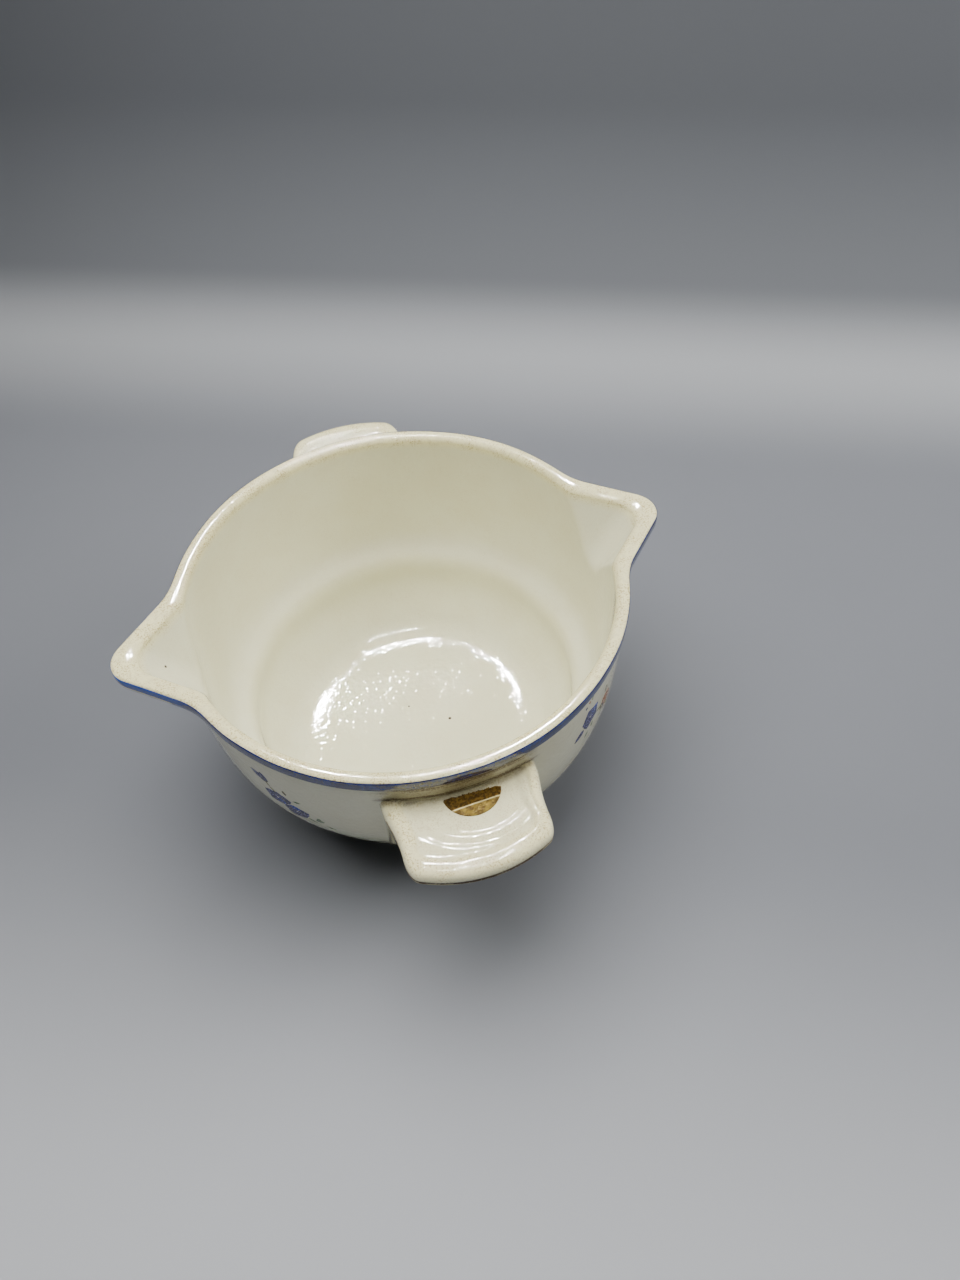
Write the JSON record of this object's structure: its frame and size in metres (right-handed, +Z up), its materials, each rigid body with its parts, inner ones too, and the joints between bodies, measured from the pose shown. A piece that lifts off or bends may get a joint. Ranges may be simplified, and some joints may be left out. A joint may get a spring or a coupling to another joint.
{
  "type": "two-lipped ceramic dish",
  "caption": "Deep round glazed dish with V-shaped pouring lips on opposite sides, flat lug handles between them, a painted line under the rim and small flower sprays.",
  "frame": {"origin": "on the table, in the middle of the dish's length and width, within half a millimetre of the bowl's axis", "axes": "+Z up along the bowl's axis, +X towards one pouring lip, -Y towards the handle with the foil seal"},
  "size_m": [0.1804, 0.193, 0.088],
  "materials": {
    "glaze": "gloss cream-white glaze with fine warm specks",
    "biscuit": "unglazed, matt, slightly worn",
    "cobalt": "hand-painted gloss blue line",
    "spray_enamel": "fired-on blue, green and orange-brown flower sprays",
    "foil": "creased gold paper-foil, worn"
  },
  "bodies": {
    "root": {"bowl_body": "glaze", "foot_ring": "biscuit", "spout_left": "glaze", "spout_right": "glaze", "handle_front": "glaze", "handle_back": "glaze", "rim_line": "cobalt", "spray_front_left": "spray_enamel", "spray_front_right": "spray_enamel", "spray_back_left": "spray_enamel", "spray_back_right": "spray_enamel", "foil_label": "foil"}
  },
  "joints": []
}
